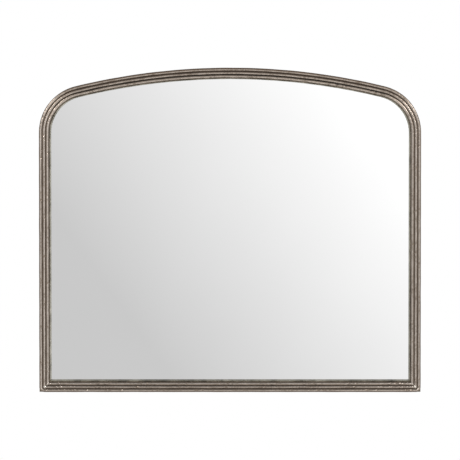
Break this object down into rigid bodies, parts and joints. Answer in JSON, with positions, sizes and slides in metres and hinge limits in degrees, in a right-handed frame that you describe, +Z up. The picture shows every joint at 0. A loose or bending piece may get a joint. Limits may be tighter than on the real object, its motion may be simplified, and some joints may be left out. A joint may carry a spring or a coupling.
{
  "type": "arched wall mirror",
  "caption": "Wall mirror with a gently arched top, round shoulders and a slim reeded metal frame, hung from swinging rings on its back.",
  "frame": {"origin": "on the wall plane, midway between the two hooks that the hanging rings bear on", "axes": "+X to the right as seen from the room, +Y into the wall, +Z up; the mirror faces -Y"},
  "size_m": [1, 0.0341, 0.85],
  "materials": {
    "reed": "hammered, antique silver over a dark patina, worn bright on the crests",
    "face_plate": "dark bronze patina, shows in the grooves between the reeds",
    "side_band": "antique pewter patina, satin",
    "sight_lip": "dark olive bronze patina",
    "subframe": "raw fibreboard",
    "dowel": "raw beech",
    "tape": "closed-cell foam tape",
    "mirror": "silvered float glass with polished edges",
    "block": "matt rubber",
    "foam": "white foam sheet",
    "board": "brown hardboard, smooth side out",
    "screw": "yellow zinc plate",
    "hanger": "bright zinc plate",
    "ring": "bright zinc plate",
    "bumper": "matt rubber"
  },
  "bodies": {
    "mirror": {"face_plate": "face_plate", "side_band_arch": "side_band", "side_band_sill": "side_band", "sight_lip_arch": "sight_lip", "sight_lip_sill": "sight_lip", "outer_reed_arch": "reed", "middle_reed_arch": "reed", "inner_reed_arch": "reed", "outer_reed_sill": "reed", "middle_reed_sill": "reed", "inner_reed_sill": "reed", "subframe_head": "subframe", "subframe_left": "subframe", "subframe_right": "subframe", "subframe_rail": "subframe", "subframe_dowels": "dowel", "glazing_tape": "tape", "mirror_glass": "mirror", "setting_blocks": "block", "edge_spacers": "block", "foam_sheet": "foam", "backing_board": "board", "board_screws": "screw", "wall_bumpers": "bumper", "hanger_strap_left": "hanger", "hanger_strap_right": "hanger", "hanger_screws": "screw"},
    "ring_left": {"d_ring_left": "ring"},
    "ring_right": {"d_ring_right": "ring"}
  },
  "joints": [
    {"name": "ring_left_swing", "type": "hinge", "parent": "mirror", "child": "ring_left", "pos_m": [-0.489, -0.00495, -0.012], "axis": [1, 0, 0], "range_deg": [0, 180]},
    {"name": "ring_right_swing", "type": "hinge", "parent": "mirror", "child": "ring_right", "pos_m": [0.489, -0.00495, -0.012], "axis": [1, 0, 0], "range_deg": [0, 180]}
  ]
}
